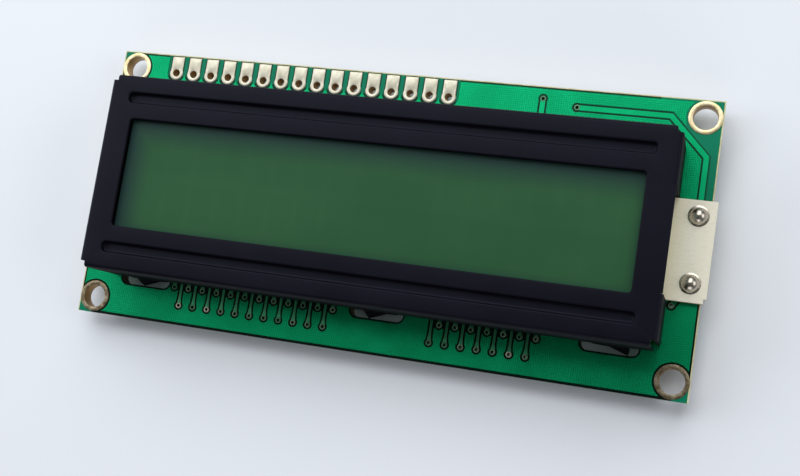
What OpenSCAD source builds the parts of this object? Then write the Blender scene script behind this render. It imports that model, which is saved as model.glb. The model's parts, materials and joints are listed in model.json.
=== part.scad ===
// Character LCD module: a two-line display cell and its LED backlight, clamped
// to a printed board by a folded steel bezel whose tabs are twisted behind it.
// Origin: centre of the four mounting holes, on the board's front face.
// +X runs along the display, +Y towards the row of solder lands, +Z out of the
// display. All lengths are in millimetres.

/* [Board] */
// Length of the board
board_l = 80; // [72:0.5:100]
// Width of the board
board_w = 36; // [34:0.5:44]
// Thickness of the board
board_t = 1.6; // [0.8:0.1:2.4]
// Thickness of the copper and the solder mask over it
copper_t = 0.05; // [0.03:0.01:0.1]
// Thickness of a tinned land
tin_t = 0.08; // [0.05:0.01:0.15]
// Bare strip between the copper and the board's edge
copper_margin = 0.35; // [0.2:0.05:0.8]
// Bare gap round tracks and lands
copper_gap = 0.24; // [0.12:0.02:0.3]

/* [Mounting holes] */
// Diameter of the plated hole
hole_d = 3; // [2.4:0.1:3.2]
// Width of the ring round each hole
rim_w = 0.55; // [0.4:0.05:0.7]
// Board left between a ring and the short edges
rim_edge_x = 0.05; // [0.05:0.05:0.5]
// Board left between a ring and the long edges
rim_edge_y = 0.15; // [0.05:0.05:0.5]
// Wall of the plating inside a hole
plating_t = 0.05; // [0.03:0.01:0.1]

/* [Solder lands] */
// Number of lands in the row
land_count = 16; // [8:1:18]
// Distance from one land to the next
land_pitch = 2.54; // [2.5:0.01:2.6]
// First land's hole from the board's left edge
land_inset_x = 8.1; // [7.5:0.1:9]
// Hole centres from the board's top edge
land_inset_y = 2.5; // [2.4:0.1:2.8]
// Width of a land
land_w = 1.86; // [1.6:0.02:2]
// Width of a land's straight part
land_neck = 1.72; // [1.5:0.02:1.86]
// Hole in each land
land_hole_d = 1; // [0.8:0.05:1.2]
// Bare board between a land and the top edge
land_edge = 0.25; // [0.15:0.05:0.5]

/* [Vias and tracks] */
// Diameter of a via's ring
via_d = 0.74; // [0.7:0.02:0.86]
// Hole inside a via's plating
via_hole_d = 0.4; // [0.3:0.05:0.5]
// Spacing of the contact tracks
contact_pitch = 1.005; // [1:0.005:1.05]
// Width of a contact track
contact_track_w = 0.32; // [0.25:0.01:0.36]
// Length of the taper where a contact track meets its via
neck_l = 1.05; // [0.8:0.05:1.2]
// Length of a contact finger
finger_l = 2; // [1.8:0.1:2.2]
// Width of a contact finger
finger_w = 0.62; // [0.5:0.02:0.7]
// Left group of contacts: gap after the left slot
left_group_lead = 0.8; // [0.7:0.1:1.5]
// Left group of contacts: gap before the middle slot
left_group_tail = 1.8; // [1:0.1:3]
// Right group of contacts: gap after the middle slot
right_group_lead = 3.7; // [2:0.1:5]
// Right group of contacts: gap before the right slot
right_group_tail = 4.8; // [2:0.1:6]
// Near row of vias, out from the bezel
near_via_out = 0.55; // [0.5:0.05:0.7]
// Far row of vias, out from the bezel
far_via_out = 2.85; // [2.4:0.05:3]
// Width of the backlight's feed track
feed_track_w = 0.62; // [0.5:0.02:0.7]
// Start of the feed track from the board's right edge
feed_start_in = 17.5; // [16:0.5:19]
// Feed track from the board's top edge
feed_down = 2.35; // [2.2:0.05:2.5]
// Drop of the feed track's slanted stretch
feed_slant = 4.65; // [4.3:0.05:4.9]
// Short track's via from the board's right edge
stub_in = 21.8; // [20:0.1:24]
// Short track's via from the board's top edge
stub_down = 1.6; // [1.4:0.1:2]
// Via below the tongue, from the board's right edge
return_in = 3.3; // [3:0.1:3.5]
// Via below the tongue, from the tongue's edge
return_down = 0.55; // [0.45:0.05:0.8]
// Width of a track on the back
back_track_w = 0.28; // [0.2:0.02:0.32]

/* [Bezel] */
// Board left at each end of the bezel
bezel_end = 3.9; // [3.8:0.1:5]
// Board left above and below the bezel
bezel_band = 5.4; // [5.3:0.1:6]
// Height of the bezel's face above the board
bezel_h = 8.6; // [7.8:0.2:10]
// Thickness of the sheet
sheet_t = 0.4; // [0.3:0.05:0.5]
// Inside radius of the folds
fold_r = 0.1; // [0.05:0.05:0.3]
// Square relief in each corner
corner_notch = 0.8; // [0.8:0.05:1.2]
// Bezel's centre line from the board's centre line
bezel_y = 0; // [-0.3:0.1:0.3]
// Bezel's face at each end of the window
window_end = 3.5; // [3:0.05:5]
// Bezel's face above and below the window
window_band = 5.65; // [5.2:0.05:6]
// Corner radius of the window
window_r = 0.5; // [0.3:0.1:1]
// Rounded rim of the window
window_roll = 0.15; // [0.1:0.05:0.25]

/* [Pressed beads] */
// Bezel's face at each end of a bead
bead_end = 2.75; // [2:0.05:4]
// Width of a bead's mouth
bead_w = 1.3; // [1.2:0.1:1.8]
// Depth of a bead
bead_depth = 0.7; // [0.6:0.05:0.9]
// Bead's centre line from the bezel's long side
bead_in = 2.9; // [2.6:0.05:3.1]
// Corner radius of a bead, seen from above
bead_r = 0.5; // [0.4:0.05:0.6]
// Rounded lip along a bead
bead_lip = 0.18; // [0.1:0.02:0.3]
// Rounded corner along a bead's floor
bead_fillet = 0.3; // [0.2:0.02:0.35]
// Wall of the bead, seen from behind
bead_wall = 0.35; // [0.3:0.05:0.45]

/* [Tabs] */
// Width of a tab
tab_w = 4.4; // [3.6:0.2:5]
// Length of a tab beyond the board
tab_out = 1.95; // [1.8:0.05:2.4]
// Twist of a tab, in degrees
tab_twist = 22; // [15:1:30]
// Left pair of tabs from the bezel's left end
tab_left_in = 5.25; // [5:0.05:6]
// Middle pair of tabs, right of the bezel's centre
tab_middle = 1.3; // [0.6:0.1:2]
// Right pair of tabs from the bezel's right end
tab_right_in = 5.85; // [5:0.05:7]
// Length of a slot in the board
slot_l = 6.9; // [6.2:0.1:7.4]
// Width of a slot in the board
slot_w = 1.7; // [1.5:0.05:1.8]
// Slot's centre line outwards from the wall's
slot_out = 0.3; // [0.1:0.05:0.35]

/* [Display cell] */
// Thickness of each glass
glass_t = 1.1; // [0.7:0.1:1.1]
// Gap between the glasses
cell_gap = 0.05; // [0.03:0.01:0.08]
// Thickness of each polarizing film
film_t = 0.2; // [0.15:0.05:0.3]
// Width of the seal round the cell
seal_w = 1.2; // [0.8:0.1:1.6]
// Clearance between the cell and the bezel
cell_clearance = 0.4; // [0.3:0.05:0.6]
// Width of an elastomer strip
zebra_w = 2; // [1.6:0.1:2.2]
// Clearance beside the elastomer strips
zebra_clearance = 0.3; // [0.2:0.05:0.4]
// Films from the inner side of each bead
film_clearance = 0.35; // [0.2:0.05:0.5]
// Films past each end of the window
film_lap = 1; // [0.5:0.1:1.5]

/* [Backlight] */
// Ends of the light box from the bezel's ends
light_in = 2.6; // [2:0.1:3]
// Ends of the elastomer strips from the light box's ends
zebra_in = 2; // [1:0.2:4]
// Wall of the light box
light_wall = 1.2; // [1:0.1:1.5]
// Thickness of the diffuser
diffuser_t = 1.5; // [1:0.1:1.8]
// Length of a lamp package
led_l = 1.6; // [1:0.1:2]
// Height of a lamp package
led_h = 0.6; // [0.4:0.05:0.8]
// Thickness of the backlight board
tongue_t = 0.95; // [0.8:0.05:1.2]
// Width of the tongue
tongue_w = 12.1; // [11:0.1:13]
// Tongue's centre line from the board's centre line
tongue_y = -0.4; // [-0.5:0.1:0.5]
// Overhang of the tongue past the board's edge
tongue_overhang = 0.6; // [0.2:0.1:1]
// Step in the tongue's lower corner, along and across
tongue_step = [0.35, 0.55]; // [0.2:0.05:0.8]
// Clearance on each side of the tongue in the bezel's wall
tongue_clearance = 0.15; // [0.1:0.05:0.5]
// Distance between the backlight pins
pin_spacing = 8; // [7:0.1:8.4]
// Pins' middle from the tongue's middle
pin_shift = 0.15; // [0:0.05:0.3]
// Pins from the board's right edge
pin_inset = 1.45; // [1.3:0.05:1.7]
// Diameter of a backlight pin
pin_d = 0.8; // [0.6:0.05:0.9]
// Clearance round a pin in its hole
pin_clearance = 0.05; // [0.03:0.01:0.1]
// Length of a pin beyond the back of the board
pin_out = 1.1; // [0.9:0.05:1.3]
// Height of the solder cone round a pin, behind the board
cone_h = 0.75; // [0.5:0.05:0.8]
// Diameter of a solder dome
dome_d = 2.54; // [2.2:0.02:2.6]
// Diameter of the ball of solder on it
ball_d = 2.16; // [2:0.02:2.2]
// Height of the solder's thin foot
foot_h = 0.22; // [0.15:0.01:0.3]
// Height of a solder dome
dome_h = 1; // [0.8:0.05:1.05]

/* [Back of the board] */
// Diameter of the controller's epoxy blob
controller_d = 15.5; // [13:0.5:16]
// Diameter of the segment driver's epoxy blob
driver_d = 14.5; // [12:0.5:15.5]
// Height of an epoxy blob
blob_h = 1.6; // [1.3:0.1:1.7]
// Controller's centre from the board's left edge
controller_in = 26.5; // [25:0.5:28]
// Driver's centre from the board's right edge
driver_in = 23; // [22:0.5:25]
// Blobs' centres below the board's centre line
blob_down = 0.5; // [0:0.1:1]
// Side of each silicon die
die_size = 3.4; // [2.5:0.1:4]
// Thickness of each silicon die
die_h = 0.4; // [0.3:0.05:0.5]
// Length of a chip part
chip_l = 2; // [1.8:0.1:2.2]
// Width of a chip part
chip_w = 1.25; // [1:0.05:1.4]
// Height of a chip part
chip_h = 0.55; // [0.4:0.05:0.7]
// Length of a chip part's metal end
terminal_l = 0.4; // [0.3:0.05:0.5]
// Thickness of a chip part's metal end
terminal_t = 0.05; // [0.04:0.01:0.08]
// Solder beyond a chip part's end
fillet_l = 0.45; // [0.3:0.05:0.6]
// Column of resistors from the board's right edge
resistor_in = 12.4; // [11.5:0.1:13]
// Column of capacitors from the board's left edge
capacitor_in = 12.6; // [11.5:0.1:14]
// Spacing of the parts in the right column
right_pitch = 2.6; // [2:0.1:3]
// Spacing of the parts in the middle column
middle_pitch = 2.2; // [1.9:0.1:2.4]
// Spacing of the parts in the left column
left_pitch = 3.4; // [2:0.1:4]

/* [Hidden] */
$fn = 48;
via_fn = 24;
cap_fn = 120;
eps = 0.01;

// Levels of the stack, from the board up to the bezel's face
back_z = -board_t;
mask_back_z = back_z - copper_t;
tongue_top = copper_t + tongue_t;
face_z = bezel_h;
plate_z = face_z - sheet_t;
front_glass_top = plate_z - bead_depth;
front_glass_z = front_glass_top - glass_t;
seal_z = front_glass_z - cell_gap;
rear_glass_z = seal_z - glass_t;
rear_film_z = rear_glass_z - film_t;
light_h = rear_film_z - tongue_top;

// Sizes in plan that follow from the board and the bezel
bezel_l = board_l - 2 * bezel_end;
bezel_w = board_w - 2 * bezel_band;
bezel_edge_y = bezel_w / 2;
wall_mid_y = bezel_edge_y - sheet_t / 2;
fold_out = fold_r + sheet_t;
window_l = bezel_l - 2 * window_end;
window_w = bezel_w - 2 * window_band;
bead_l = bezel_l - 2 * bead_end;
bead_y = bezel_edge_y - bead_in;
cell_l = bezel_l - 2 * (sheet_t + cell_clearance);
cell_w = bezel_w - 2 * (sheet_t + cell_clearance);
inner_w = 2 * (bead_y - zebra_w / 2 - zebra_clearance);
film_w = 2 * (bead_y - bead_w / 2 - bead_wall - film_clearance);
film_l = window_l + 2 * film_lap;
light_l = bezel_l - 2 * light_in;
zebra_l = light_l - 2 * zebra_in;

// Mounting holes and solder lands
rim_d = hole_d + 2 * rim_w;
hole_x = board_l / 2 - rim_d / 2 - rim_edge_x;
hole_y = board_w / 2 - rim_d / 2 - rim_edge_y;
corners = [for (sx = [-1, 1], sy = [-1, 1]) [sx * hole_x, sy * hole_y]];
land_y = board_w / 2 - land_inset_y;
land_top = board_w / 2 - land_edge;
land_holes = [for (i = [0 : land_count - 1]) [-board_l / 2 + land_inset_x + i * land_pitch, land_y]];

// Tabs: x, side (+1 top, -1 bottom) and turn of the twist
tab_x = [tab_left_in - bezel_l / 2, tab_middle, bezel_l / 2 - tab_right_in];
tabs = [for (s = [-1, 1], i = [0 : 2]) [tab_x[i], s, s * (i == 2 ? -1 : 1)]];
slot_y = wall_mid_y + slot_out;

// Contact tracks fill the board's edge between the slots; each is [x, 1 for the far row]
left_group_x = tab_x[0] + slot_l / 2 + left_group_lead;
right_group_x = tab_x[1] + slot_l / 2 + right_group_lead;
left_room = tab_x[1] - slot_l / 2 - left_group_tail - left_group_x;
right_room = tab_x[2] - slot_l / 2 - right_group_tail - right_group_x;
left_group_count = floor(left_room / contact_pitch) + 1;
right_group_count = floor(right_room / contact_pitch) + 1;
contacts = concat(
    [for (i = [0 : left_group_count - 1]) [left_group_x + i * contact_pitch, i % 2]],
    [for (i = [0 : right_group_count - 1]) [right_group_x + i * contact_pitch, (i + 1) % 2]]
);
function via_y(far) = bezel_y - bezel_edge_y - (far == 1 ? far_via_out : near_via_out);
contact_vias = [for (c = contacts) [c[0], via_y(c[1])]];
finger_y = bezel_y - bead_y;

// Feed track of the backlight: along the top, slanting down to the upper pin
pin_x = board_l / 2 - pin_inset;
pin_at = [for (s = [1, -1]) [pin_x, tongue_y + pin_shift + s * pin_spacing / 2]];
pin_hole_d = pin_d + 2 * pin_clearance;
feed_y = board_w / 2 - feed_down;
feed_start = [board_l / 2 - feed_start_in, feed_y];
feed_corner = [pin_x - feed_slant, feed_y];
feed_end = [pin_x, feed_y - feed_slant];
return_via = [board_l / 2 - return_in, tongue_y - tongue_w / 2 - return_down];
stub_via = [board_l / 2 - stub_in, board_w / 2 - stub_down];
vias = concat(contact_vias, [stub_via, feed_start, return_via]);

// Parts on the back: the blobs, and the chip parts' centres
controller_at = [controller_in - board_l / 2, -blob_down];
driver_at = [board_l / 2 - driver_in, -blob_down];
middle_x = (controller_at[0] + controller_d / 2 + driver_at[0] - driver_d / 2) / 2;
resistors = concat(
    [for (i = [-2 : 2]) [board_l / 2 - resistor_in, right_pitch * (1 - i)]],
    [for (i = [0 : 3]) [middle_x, middle_pitch * (3 - i)]]
);
capacitors = [for (i = [-1 : 1]) [capacitor_in - board_l / 2, left_pitch * (0.5 - i)]];

// ---- shared shapes ----

// Flat stadium: a rectangle with half-round ends
module stadium(l, w) {
    square([l - w, w], center = true);
    for (s = [-1, 1]) {
        translate([s * (l - w) / 2, 0]) circle(d = w);
    }
}

// Flat rectangle with rounded corners
module rounded_rect(l, w, r) {
    square([l, w - 2 * r], center = true);
    square([l - 2 * r, w], center = true);
    for (sx = [-1, 1], sy = [-1, 1]) {
        translate([sx * (l / 2 - r), sy * (w / 2 - r)]) circle(r = r);
    }
}

// Sweeps a profile round a rounded rectangle; the profile's +x points outwards
module sweep_round(l, w, r) {
    for (side = [0, 1], turn = [0, 180]) {
        run = side == 0 ? l : w;
        reach = side == 0 ? w : l;
        rotate([0, 0, turn - 90 * side])
            translate([-(run / 2 - r), reach / 2, 0])
                rotate([90, 0, 90])
                    linear_extrude(run - 2 * r) children();
    }
    for (q = [0 : 3]) {
        run = q % 2 == 0 ? l : w;
        reach = q % 2 == 0 ? w : l;
        rotate([0, 0, 90 * q])
            translate([run / 2 - r, reach / 2 - r, 0])
                rotate_extrude(angle = 90)
                    translate([r, 0]) children();
    }
}

// Corner left between a square edge and its rounding, for rolled rims
module lip_corner(r) {
    difference() {
        translate([-eps, -r]) square([r + eps, r + eps]);
        translate([r, -r]) circle(r = r);
    }
}

// Spherical cap standing on z = 0
module cap(d, h) {
    ball_r = (d * d / 4 + h * h) / (2 * h);
    rotate_extrude($fn = cap_fn)
        intersection() {
            translate([0, h - ball_r]) circle(r = ball_r, $fn = cap_fn);
            square([d / 2, h]);
        }
}

// Unit vector square to the stretch from a to b, on its left
function across(a, b) = [a[1] - b[1], b[0] - a[0]] / norm(b - a);

// The line of points moved sideways by d, with mitred corners
function beside(points, d) =
    let (last = len(points) - 1)
    [for (i = [0 : last])
        let (
            before = across(points[max(i - 1, 0)], points[max(i, 1)]),
            after = across(points[min(i, last - 1)], points[min(i + 1, last)])
        )
        points[i] + d * (before + after) / (1 + before * after)];

// Flat strip of width w along a list of points
module track(points, w) {
    right = beside(points, -w / 2);
    polygon(concat(beside(points, w / 2), [for (i = [len(right) - 1 : -1 : 0]) right[i]]));
}

// ---- board ----

module board_slots(grow) {
    for (t = tabs) {
        translate([t[0], bezel_y + t[1] * slot_y]) stadium(slot_l + 2 * grow, slot_w + 2 * grow);
    }
}

module main_board() {
    color([0.05, 0.42, 0.25])
        translate([0, 0, back_z])
            linear_extrude(board_t)
                difference() {
                    square([board_l, board_w], center = true);
                    board_slots(0);
                    for (p = corners) translate(p) circle(d = hole_d + 2 * plating_t);
                    for (p = land_holes) translate(p) circle(d = land_hole_d + 2 * plating_t);
                    for (p = pin_at) translate(p) circle(d = pin_hole_d + 2 * plating_t);
                    for (p = vias) translate(p) circle(d = via_hole_d + 2 * plating_t, $fn = via_fn);
                }
}

// Outline of one solder land: square end at the board's edge, round end inside
module land_2d(p, neck, grow) {
    translate(p) circle(d = land_w + 2 * grow);
    translate([p[0] - neck / 2 - grow, p[1]])
        square([neck + 2 * grow, land_top + grow - p[1]]);
}

// Half-width of a taper's foot, as a share of the radius that it runs into
neck_share = 0.85;

// Copper-free areas that both faces share
module common_clearance() {
    board_slots(copper_gap);
    for (p = corners) {
        translate(p) circle(d = rim_d + 2 * copper_gap);
        translate((p + [sign(p[0]) * board_l, sign(p[1]) * board_w] / 2) / 2)
            square([board_l / 2 - hole_x, board_w / 2 - hole_y], center = true);
    }
    for (p = land_holes) land_2d(p, land_w, (land_pitch - land_w) / 2 + eps);
    for (p = vias) translate(p) circle(d = via_d + 2 * copper_gap, $fn = via_fn);
    for (p = pin_at) translate(p) circle(d = dome_d + 2 * copper_gap);
}

// Holes in the copper where rings and lands take its place
module ring_places() {
    for (p = vias) translate(p) circle(d = via_d, $fn = via_fn);
    for (p = pin_at) translate(p) circle(d = dome_d);
}

// Contact tracks with a taper down to each via; gap is 0 for the copper itself
module contact_tracks(gap) {
    half = contact_track_w / 2 + gap;
    foot = neck_share * (via_d / 2 + gap);
    for (p = contact_vias) {
        top = finger_y - finger_l / 2 - p[1];
        translate(p)
            polygon([[half, top], [-half, top], [-half, neck_l], [-foot, 0], [foot, 0], [half, neck_l]]);
    }
}

// No pour between the tracks of a group, from the near vias to the contact fingers
module group_clearance() {
    low = via_y(0) - via_d / 2;
    for (g = [[left_group_x, left_group_count], [right_group_x, right_group_count]]) {
        translate([g[0], low]) square([(g[1] - 1) * contact_pitch, finger_y - low]);
    }
}

module feed_tracks(w) {
    track([feed_start, feed_corner, feed_end, pin_at[0]], w);
    track([pin_at[1], return_via], w);
    track([stub_via, [stub_via[0], bezel_y + bead_y]], w);
}

// Bare corner beyond the feed track, round the upper right hole
module bare_corner() {
    ring_left = corners[3][0] - rim_d / 2 - copper_gap / 2;
    polygon([
        [ring_left, feed_y - (ring_left - feed_corner[0])],
        [ring_left, corners[3][1] + rim_d / 8],
        [ring_left + rim_d / 5, board_w / 2],
        [board_l / 2, board_w / 2],
        [board_l / 2, tongue_y],
        [pin_x, tongue_y],
        feed_end
    ]);
}

module front_copper() {
    color([0.12, 0.6, 0.38])
        linear_extrude(copper_t)
            union() {
                difference() {
                    square([board_l - 2 * copper_margin, board_w - 2 * copper_margin], center = true);
                    common_clearance();
                    contact_tracks(copper_gap);
                    group_clearance();
                    feed_tracks(feed_track_w + 2 * copper_gap);
                    bare_corner();
                    for (s = [-1, 1]) {
                        translate([0, bezel_y + s * bead_y])
                            square([zebra_l + finger_l, finger_l + 4 * copper_gap], center = true);
                    }
                }
                difference() {
                    union() {
                        contact_tracks(0);
                        feed_tracks(feed_track_w);
                    }
                    ring_places();
                    for (s = [-1, 1]) {
                        translate([0, bezel_y + s * bead_y])
                            square([zebra_l + finger_l, finger_l], center = true);
                    }
                }
            }
}

// Back tracks: each runs straight from its via or land, slants, and ends under a blob
function fan_track(foot, knee_y, blob, blob_d, share) =
    let (
        side = sign(foot[1] - blob[1]),
        toe = [blob[0] + share * blob_d * fan_spread, blob[1] + side * blob_d * fan_reach]
    )
    [foot, [foot[0], knee_y], [toe[0], toe[1] + side * fan_straight], toe];

function fan(feet, knee_y, blob, blob_d) =
    let (last = len(feet) - 1)
    [for (i = [0 : last]) fan_track(feet[i], knee_y, blob, blob_d, 2 * i / last - 1)];

fan_spread = 0.36;
fan_reach = 0.32;
fan_straight = 3 * contact_pitch;
link_count = 6;
link_pitch = 2 * back_track_w;
via_knee_y = via_y(0) + contact_pitch;
land_knee_y = bezel_y + slot_y + slot_w / 2 + copper_gap;
left_feet = [for (i = [0 : left_group_count - 1]) contact_vias[i]];
right_feet = [for (i = [0 : right_group_count - 1]) contact_vias[left_group_count + i]];
land_feet = [for (i = [3 : min(10, land_count - 1)]) land_holes[i]];
fans = [
    fan(left_feet, via_knee_y, controller_at, controller_d),
    fan(right_feet, via_knee_y, driver_at, driver_d),
    fan(land_feet, land_knee_y, controller_at, controller_d)
];
foot_rows = [via_y(1), via_y(1), land_y];
link_ends = [controller_at[0] + controller_d * 0.3, driver_at[0] - driver_d * 0.3];
links = [for (i = [0 : link_count - 1])
    let (y = controller_at[1] - (i + 1) * link_pitch)
    [[link_ends[0], y], [link_ends[1], y]]];

module back_tracks_2d() {
    for (f = fans, t = f) track(t, back_track_w);
    for (t = links) track(t, back_track_w);
}

// Copper-free field round each fan of tracks and round the links between the blobs
module back_fields_2d() {
    edge = back_track_w / 2 + copper_gap;
    for (k = [0 : len(fans) - 1]) {
        first = fans[k][0];
        last = fans[k][len(fans[k]) - 1];
        polygon([
            [first[0][0] - edge, foot_rows[k]],
            first[1] - [edge, 0],
            first[2] - [edge, 0],
            first[3] - [edge, 0],
            last[3] + [edge, 0],
            last[2] + [edge, 0],
            last[1] + [edge, 0],
            [last[0][0] + edge, foot_rows[k]]
        ]);
    }
    translate([link_ends[0], links[link_count - 1][0][1] - edge])
        square([link_ends[1] - link_ends[0], (link_count - 1) * link_pitch + 2 * edge]);
}

module chip_pads_2d(grow) {
    for (c = concat(resistors, capacitors), s = [-1, 1]) {
        translate([c[0] + s * (chip_l / 2 - terminal_l + pad_l / 2), c[1]])
            square([pad_l + 2 * grow, pad_w + 2 * grow], center = true);
    }
}

module rear_copper() {
    color([0.1, 0.5, 0.3])
        translate([0, 0, mask_back_z])
            linear_extrude(copper_t)
                union() {
                    difference() {
                        square([board_l - 2 * copper_margin, board_w - 2 * copper_margin], center = true);
                        common_clearance();
                        chip_pads_2d(copper_gap);
                        back_fields_2d();
                    }
                    difference() {
                        back_tracks_2d();
                        ring_places();
                        for (p = land_holes) land_2d(p, land_neck, 0);
                        chip_pads_2d(copper_gap);
                    }
                }
}

// Tube through the board with a flat ring on each face
module plated_hole(ring_d, bore_d, ring_t, f) {
    difference() {
        union() {
            translate([0, 0, back_z - ring_t])
                linear_extrude(ring_t) circle(d = ring_d, $fn = f);
            translate([0, 0, back_z])
                linear_extrude(board_t) circle(d = bore_d + 2 * plating_t, $fn = f);
            linear_extrude(ring_t) circle(d = ring_d, $fn = f);
        }
        translate([0, 0, back_z - 1])
            cylinder(d = bore_d, h = board_t + 2, $fn = f);
    }
}

module mounting_hole_rims() {
    color([0.86, 0.8, 0.62])
        for (p = corners) translate([p[0], p[1], 0]) plated_hole(rim_d, hole_d, tin_t, $fn);
}

module header_lands() {
    color([0.85, 0.84, 0.76])
        for (p = land_holes) {
            difference() {
                union() {
                    linear_extrude(tin_t) land_2d(p, land_neck, 0);
                    translate([0, 0, back_z - tin_t]) linear_extrude(tin_t) land_2d(p, land_neck, 0);
                    translate([p[0], p[1], back_z])
                        cylinder(d = land_hole_d + 2 * plating_t, h = board_t);
                }
                translate([p[0], p[1], back_z - 1]) cylinder(d = land_hole_d, h = board_t + 2);
            }
        }
}

module via_lands() {
    color([0.6, 0.66, 0.56])
        for (p = vias) translate([p[0], p[1], 0]) plated_hole(via_d, via_hole_d, copper_t, via_fn);
}

module pin_lands() {
    color([0.85, 0.84, 0.76])
        for (p = pin_at) translate([p[0], p[1], 0]) plated_hole(dome_d, pin_hole_d, copper_t, $fn);
}

module contact_fingers() {
    color([0.85, 0.7, 0.3])
        for (c = contacts, s = [-1, 1]) {
            translate([c[0] - finger_w / 2, bezel_y + s * bead_y - finger_l / 2, 0])
                cube([finger_w, finger_l, copper_t]);
        }
}

// ---- bezel ----

// Wall and fold, with a sliver of the plate: x runs inwards from the wall's outer face
module wall_profile() {
    translate([0, copper_t]) square([sheet_t, face_z - fold_out - copper_t]);
    translate([fold_out - eps, plate_z]) square([2 * eps, sheet_t]);
    intersection() {
        translate([fold_out, face_z - fold_out])
            difference() {
                circle(r = fold_out);
                circle(r = fold_r);
            }
        translate([0, face_z - fold_out]) square([fold_out, fold_out]);
    }
}

// One stretch of wall on the side that faces -Y, from x = a to x = b
module wall_stretch(a, b, reach) {
    translate([a, -reach, 0])
        rotate([90, 0, 90])
            linear_extrude(b - a) wall_profile();
}

// Tongue's gap in the right wall: the plate stays flat there and ends where the fold would begin
gap_low = tongue_y - bezel_y - tongue_w / 2 - tongue_clearance;
gap_high = tongue_y - bezel_y + tongue_w / 2 + tongue_clearance;

module bezel_plate_2d() {
    difference() {
        square([bezel_l - 2 * fold_out, bezel_w - 2 * fold_out], center = true);
        for (sx = [-1, 1], sy = [-1, 1]) {
            translate([sx * bezel_l / 2, sy * bezel_w / 2])
                square([2 * corner_notch, 2 * corner_notch], center = true);
        }
    }
}

// Rib that a bead makes behind the plate
module bead_rib() {
    translate([0, 0, front_glass_top])
        linear_extrude(bead_depth + eps)
            rounded_rect(bead_l + 2 * bead_wall, bead_w + 2 * bead_wall, bead_r + bead_wall);
}

// Groove of a bead: rounded lip, straight wall and rounded floor
module bead_groove() {
    floor_z = face_z - bead_depth;
    translate([0, 0, floor_z + bead_fillet])
        linear_extrude(bead_depth) rounded_rect(bead_l, bead_w, bead_r);
    translate([0, 0, floor_z])
        linear_extrude(bead_fillet)
            rounded_rect(bead_l - 2 * bead_fillet, bead_w - 2 * bead_fillet, bead_r - bead_fillet);
    translate([0, 0, floor_z + bead_fillet])
        sweep_round(bead_l, bead_w, bead_r)
            intersection() {
                translate([-bead_fillet, 0]) circle(r = bead_fillet);
                translate([-bead_fillet, -bead_fillet]) square(bead_fillet);
            }
    translate([0, 0, face_z])
        sweep_round(bead_l, bead_w, bead_r) lip_corner(bead_lip);
}

// Tab on the side that faces -Y: straight through the slot, then twisted
module tab(turn) {
    translate([-tab_w / 2, -bezel_edge_y, mask_back_z])
        cube([tab_w, sheet_t, copper_t - mask_back_z]);
    translate([0, -wall_mid_y, mask_back_z])
        mirror([0, 0, 1])
            linear_extrude(tab_out, twist = turn * tab_twist, slices = 5, segments = 4)
                square([tab_w, sheet_t], center = true);
}

module bezel() {
    side_run = bezel_l / 2 - corner_notch;
    end_run = bezel_w / 2 - corner_notch;
    color([0.1, 0.1, 0.13])
        translate([0, bezel_y, 0])
            difference() {
                union() {
                    translate([0, 0, plate_z]) linear_extrude(sheet_t) bezel_plate_2d();
                    for (turn = [0, 180]) {
                        rotate([0, 0, turn]) wall_stretch(-side_run, side_run, bezel_w / 2);
                    }
                    rotate([0, 0, -90]) wall_stretch(-end_run, end_run, bezel_l / 2);
                    rotate([0, 0, 90]) wall_stretch(-end_run, gap_low, bezel_l / 2);
                    rotate([0, 0, 90]) wall_stretch(gap_high, end_run, bezel_l / 2);
                    for (s = [-1, 1]) translate([0, s * bead_y, 0]) bead_rib();
                    for (t = tabs) {
                        if (t[1] < 0) translate([t[0], 0, 0]) tab(t[2]);
                        else translate([t[0], 0, 0]) mirror([0, 1, 0]) tab(-t[2]);
                    }
                }
                translate([0, 0, plate_z - 1])
                    linear_extrude(sheet_t + 2) rounded_rect(window_l, window_w, window_r);
                translate([0, 0, face_z])
                    sweep_round(window_l, window_w, window_r) lip_corner(window_roll);
                for (s = [-1, 1]) translate([0, s * bead_y, 0]) bead_groove();
            }
}

// ---- display cell ----

// Flat slab centred on the bezel's centre line
module slab(l, w, z, t) {
    translate([-l / 2, bezel_y - w / 2, z]) cube([l, w, t]);
}

module front_polarizer() {
    color([0.25, 0.38, 0.27]) slab(film_l, film_w, front_glass_top, film_t);
}

module front_glass() {
    color([0.7, 0.8, 0.75]) slab(cell_l, cell_w, front_glass_z, glass_t);
}

module cell_seal() {
    color([0.75, 0.75, 0.7])
        difference() {
            slab(cell_l, inner_w, seal_z, cell_gap);
            slab(cell_l - 2 * seal_w, inner_w - 2 * seal_w, seal_z - 1, cell_gap + 2);
        }
}

module liquid_crystal() {
    color([0.35, 0.5, 0.35])
        slab(cell_l - 2 * seal_w, inner_w - 2 * seal_w, seal_z, cell_gap);
}

// Width of the resin drop, and its share of the room beside the cell
plug_d = 1.8;
plug_share = 0.75;

// Resin drop that closes the filling port, on the left end of the cell
module fill_port_plug() {
    color([0.8, 0.75, 0.55])
        translate([-cell_l / 2, bezel_y, seal_z + cell_gap / 2])
            rotate([0, -90, 0]) cap(plug_d, plug_share * cell_clearance);
}

module rear_glass() {
    color([0.7, 0.8, 0.75]) slab(cell_l, inner_w, rear_glass_z, glass_t);
}

module rear_polarizer() {
    color([0.4, 0.45, 0.4]) slab(film_l, film_w, rear_film_z, film_t);
}

module zebra_strip(side) {
    color([0.85, 0.6, 0.65])
        translate([-zebra_l / 2, bezel_y + side * bead_y - zebra_w / 2, copper_t])
            cube([zebra_l, zebra_w, front_glass_z - copper_t]);
}

module upper_zebra_strip() {
    zebra_strip(1);
}

module lower_zebra_strip() {
    zebra_strip(-1);
}

// ---- backlight ----

module diffuser() {
    color([0.95, 0.97, 0.9])
        slab(light_l - light_wall, inner_w - light_wall, rear_film_z - diffuser_t, diffuser_t);
}

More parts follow.
